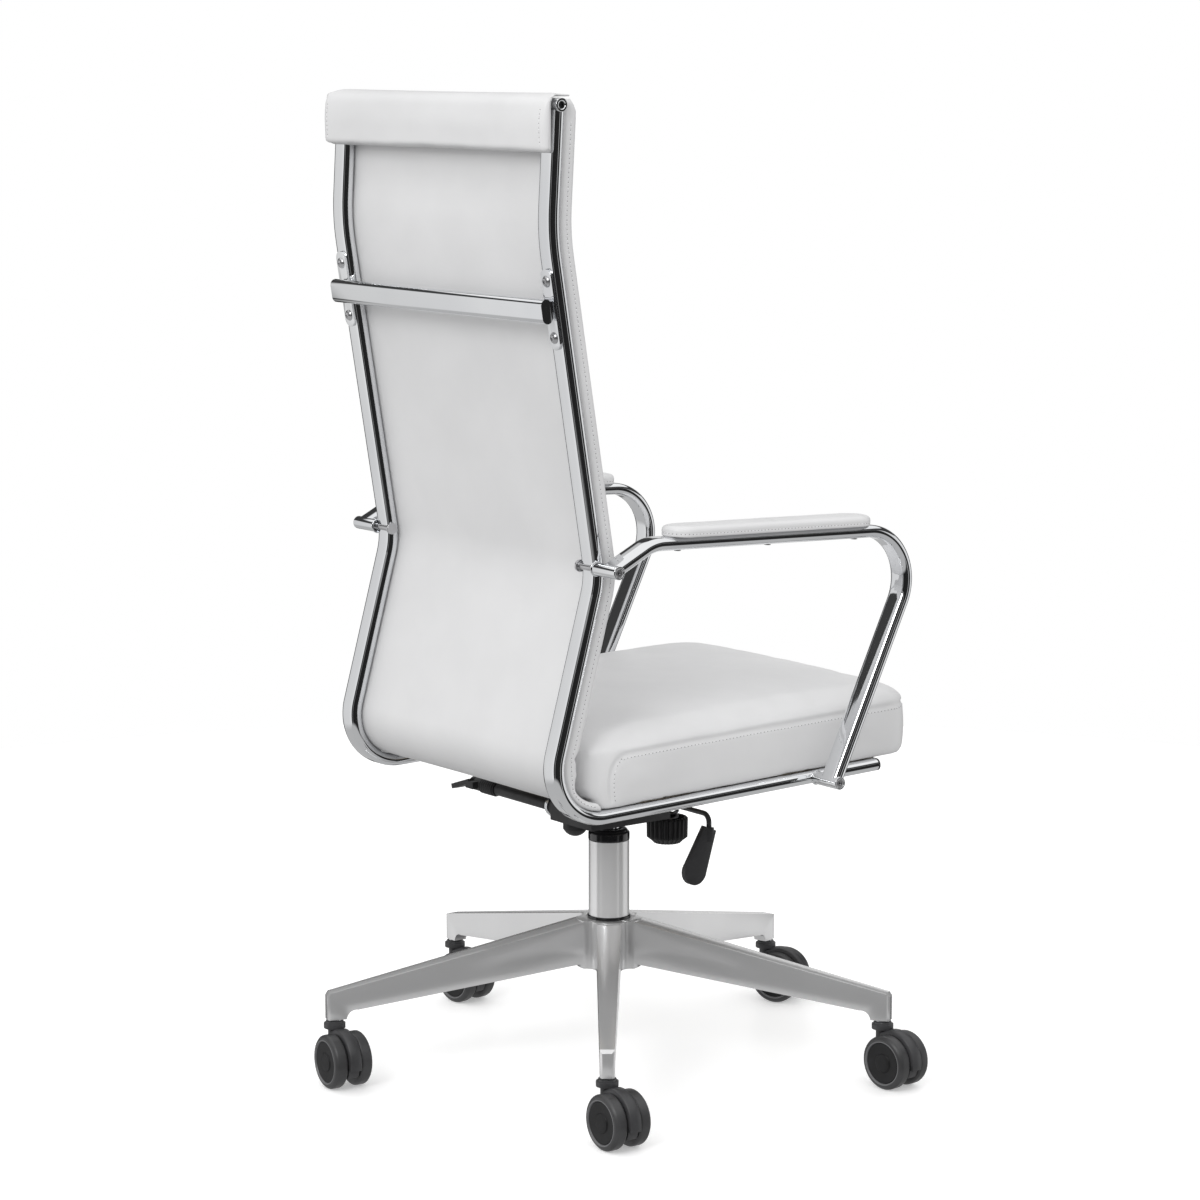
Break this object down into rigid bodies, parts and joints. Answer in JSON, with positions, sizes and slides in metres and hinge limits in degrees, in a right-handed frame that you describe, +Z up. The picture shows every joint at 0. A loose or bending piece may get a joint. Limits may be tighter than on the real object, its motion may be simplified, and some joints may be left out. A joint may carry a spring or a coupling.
{
  "type": "swivel office chair",
  "caption": "High-back office chair: white padded back and seat on chrome side frames with loop arms, tilt mechanism, gas lift and a star base on twin-wheel casters.",
  "frame": {"origin": "point on the floor under the column axis", "axes": "+Z up, the sitter faces -Y, the sitter's right is -X"},
  "size_m": [0.6993, 0.7327, 1.1837],
  "materials": {
    "cast_alu": "polished die casting",
    "chrome_tube": "mirror",
    "zinc_steel": "zinc plated",
    "black_nylon": "fine texture",
    "black_paint": "satin powder coat",
    "tread": "satin polyurethane",
    "white_leather": "fine grain polyurethane leather",
    "plywood": "raw"
  },
  "bodies": {
    "base": {"base_star": "cast_alu", "caster_stems": "zinc_steel", "column_tube": "chrome_tube", "column_guide": "black_nylon", "thrust_bearing": "zinc_steel"},
    "rod": {"piston_rod": "zinc_steel"},
    "mechanism": {"gas_tube": "chrome_tube", "mechanism_housing": "black_paint", "mechanism_cover": "black_nylon", "tilt_pivot_pin": "zinc_steel", "tension_bolt": "zinc_steel", "tension_spring": "zinc_steel"},
    "release": {"release_pin": "zinc_steel"},
    "knob": {"tension_knob": "black_nylon"},
    "lift_lever": {"lift_lever_rod": "black_paint", "lift_paddle": "black_nylon"},
    "lock_lever": {"lock_lever_shaft": "black_paint", "lock_paddle": "black_nylon"},
    "seat": {"tilt_plate": "black_paint", "frame_bolts": "zinc_steel", "side_rail_right": "chrome_tube", "side_rail_left": "chrome_tube", "rail_plugs": "black_nylon", "top_bar": "chrome_tube", "top_bar_screws": "zinc_steel", "back_crossbar": "chrome_tube", "crossbar_screws": "chrome_tube", "cross_member_front": "black_paint", "cross_member_rear": "black_paint", "arm_right": "chrome_tube", "arm_left": "chrome_tube", "arm_pad_right": "white_leather", "arm_pad_left": "white_leather", "arm_bolts": "chrome_tube", "arm_pad_screws": "zinc_steel", "back_panel": "white_leather", "head_roll": "white_leather", "seat_cushion": "white_leather", "seat_board": "plywood"},
    "caster_1": {"caster_housing_1": "black_nylon", "caster_axle_1": "zinc_steel"},
    "wheel_inner_1": {"caster_wheel_inner_1": "tread"},
    "wheel_outer_1": {"caster_wheel_outer_1": "tread"},
    "caster_2": {"caster_housing_2": "black_nylon", "caster_axle_2": "zinc_steel"},
    "wheel_inner_2": {"caster_wheel_inner_2": "tread"},
    "wheel_outer_2": {"caster_wheel_outer_2": "tread"},
    "caster_3": {"caster_housing_3": "black_nylon", "caster_axle_3": "zinc_steel"},
    "wheel_inner_3": {"caster_wheel_inner_3": "tread"},
    "wheel_outer_3": {"caster_wheel_outer_3": "tread"},
    "caster_4": {"caster_housing_4": "black_nylon", "caster_axle_4": "zinc_steel"},
    "wheel_inner_4": {"caster_wheel_inner_4": "tread"},
    "wheel_outer_4": {"caster_wheel_outer_4": "tread"},
    "caster_5": {"caster_housing_5": "black_nylon", "caster_axle_5": "zinc_steel"},
    "wheel_inner_5": {"caster_wheel_inner_5": "tread"},
    "wheel_outer_5": {"caster_wheel_outer_5": "tread"}
  },
  "joints": [
    {"name": "seat_swivel", "type": "hinge", "parent": "base", "child": "rod", "pos_m": [0, 0, 0.118], "axis": [0, 0, 1], "continuous": true},
    {"name": "gas_lift", "type": "slide", "parent": "rod", "child": "mechanism", "axis": [0, 0, 1], "range_m": [0, 0.1]},
    {"name": "release_press", "type": "slide", "parent": "mechanism", "child": "release", "axis": [0, 0, -1], "range_m": [0, 0.0032], "stiffness_N_per_m": 800, "springref_m": -0.003},
    {"name": "lift_pull", "type": "hinge", "parent": "mechanism", "child": "lift_lever", "pos_m": [-0.03, 0, 0.3395], "axis": [0, 1, 0], "range_deg": [0, 6], "stiffness_Nm_per_rad": 4, "springref_deg": -5.73},
    {"name": "tilt", "type": "hinge", "parent": "mechanism", "child": "seat", "pos_m": [0, -0.025, 0.325], "axis": [-1, 0, 0], "range_deg": [0, 12], "stiffness_Nm_per_rad": 150, "springref_deg": -17.19},
    {"name": "tilt_lock", "type": "hinge", "parent": "mechanism", "child": "lock_lever", "pos_m": [0, 0.04, 0.311], "axis": [-1, 0, 0], "range_deg": [0, 25]},
    {"name": "tension_turn", "type": "hinge", "parent": "mechanism", "child": "knob", "pos_m": [0, -0.09, 0.258], "axis": [0, 0, 1], "continuous": true},
    {"name": "caster_swivel_1", "type": "hinge", "parent": "base", "child": "caster_1", "pos_m": [-0.2756, 0.20919, 0.065], "axis": [0, 0, 1], "continuous": true},
    {"name": "wheel_roll_inner_1", "type": "hinge", "parent": "caster_1", "child": "wheel_inner_1", "pos_m": [-0.29759, 0.20996, 0.0325], "axis": [0.0349, 0.9994, 0], "continuous": true},
    {"name": "wheel_roll_outer_1", "type": "hinge", "parent": "caster_1", "child": "wheel_outer_1", "pos_m": [-0.29759, 0.20996, 0.0325], "axis": [0.0349, 0.9994, 0], "continuous": true},
    {"name": "caster_swivel_2", "type": "hinge", "parent": "base", "child": "caster_2", "pos_m": [-0.28412, -0.19747, 0.065], "axis": [0, 0, 1], "continuous": true},
    {"name": "wheel_roll_inner_2", "type": "hinge", "parent": "caster_2", "child": "wheel_inner_2", "pos_m": [-0.306, -0.19977, 0.0325], "axis": [-0.1045, 0.9945, 0], "continuous": true},
    {"name": "wheel_roll_outer_2", "type": "hinge", "parent": "caster_2", "child": "wheel_outer_2", "pos_m": [-0.306, -0.19977, 0.0325], "axis": [-0.1045, 0.9945, 0], "continuous": true},
    {"name": "caster_swivel_3", "type": "hinge", "parent": "base", "child": "caster_3", "pos_m": [0.1, -0.33123, 0.065], "axis": [0, 0, 1], "continuous": true},
    {"name": "wheel_roll_inner_3", "type": "hinge", "parent": "caster_3", "child": "wheel_inner_3", "pos_m": [0.08023, -0.34088, 0.0325], "axis": [-0.4384, 0.8988, 0], "continuous": true},
    {"name": "wheel_roll_outer_3", "type": "hinge", "parent": "caster_3", "child": "wheel_outer_3", "pos_m": [0.08023, -0.34088, 0.0325], "axis": [-0.4384, 0.8988, 0], "continuous": true},
    {"name": "caster_swivel_4", "type": "hinge", "parent": "base", "child": "caster_4", "pos_m": [0.34592, -0.00725, 0.065], "axis": [0, 0, 1], "continuous": true},
    {"name": "wheel_roll_inner_4", "type": "hinge", "parent": "caster_4", "child": "wheel_inner_4", "pos_m": [0.32409, -0.00993, 0.0325], "axis": [-0.1219, 0.9925, 0], "continuous": true},
    {"name": "wheel_roll_outer_4", "type": "hinge", "parent": "caster_4", "child": "wheel_outer_4", "pos_m": [0.32409, -0.00993, 0.0325], "axis": [-0.1219, 0.9925, 0], "continuous": true},
    {"name": "caster_swivel_5", "type": "hinge", "parent": "base", "child": "caster_5", "pos_m": [0.11379, 0.32675, 0.065], "axis": [0, 0, 1], "continuous": true},
    {"name": "wheel_roll_inner_5", "type": "hinge", "parent": "caster_5", "child": "wheel_inner_5", "pos_m": [0.09191, 0.32905, 0.0325], "axis": [0.1045, 0.9945, 0], "continuous": true},
    {"name": "wheel_roll_outer_5", "type": "hinge", "parent": "caster_5", "child": "wheel_outer_5", "pos_m": [0.09191, 0.32905, 0.0325], "axis": [0.1045, 0.9945, 0], "continuous": true}
  ],
  "couplings": [
    {"joint": "release_press", "follows": "lift_pull", "m_per_rad": 0.03}
  ]
}
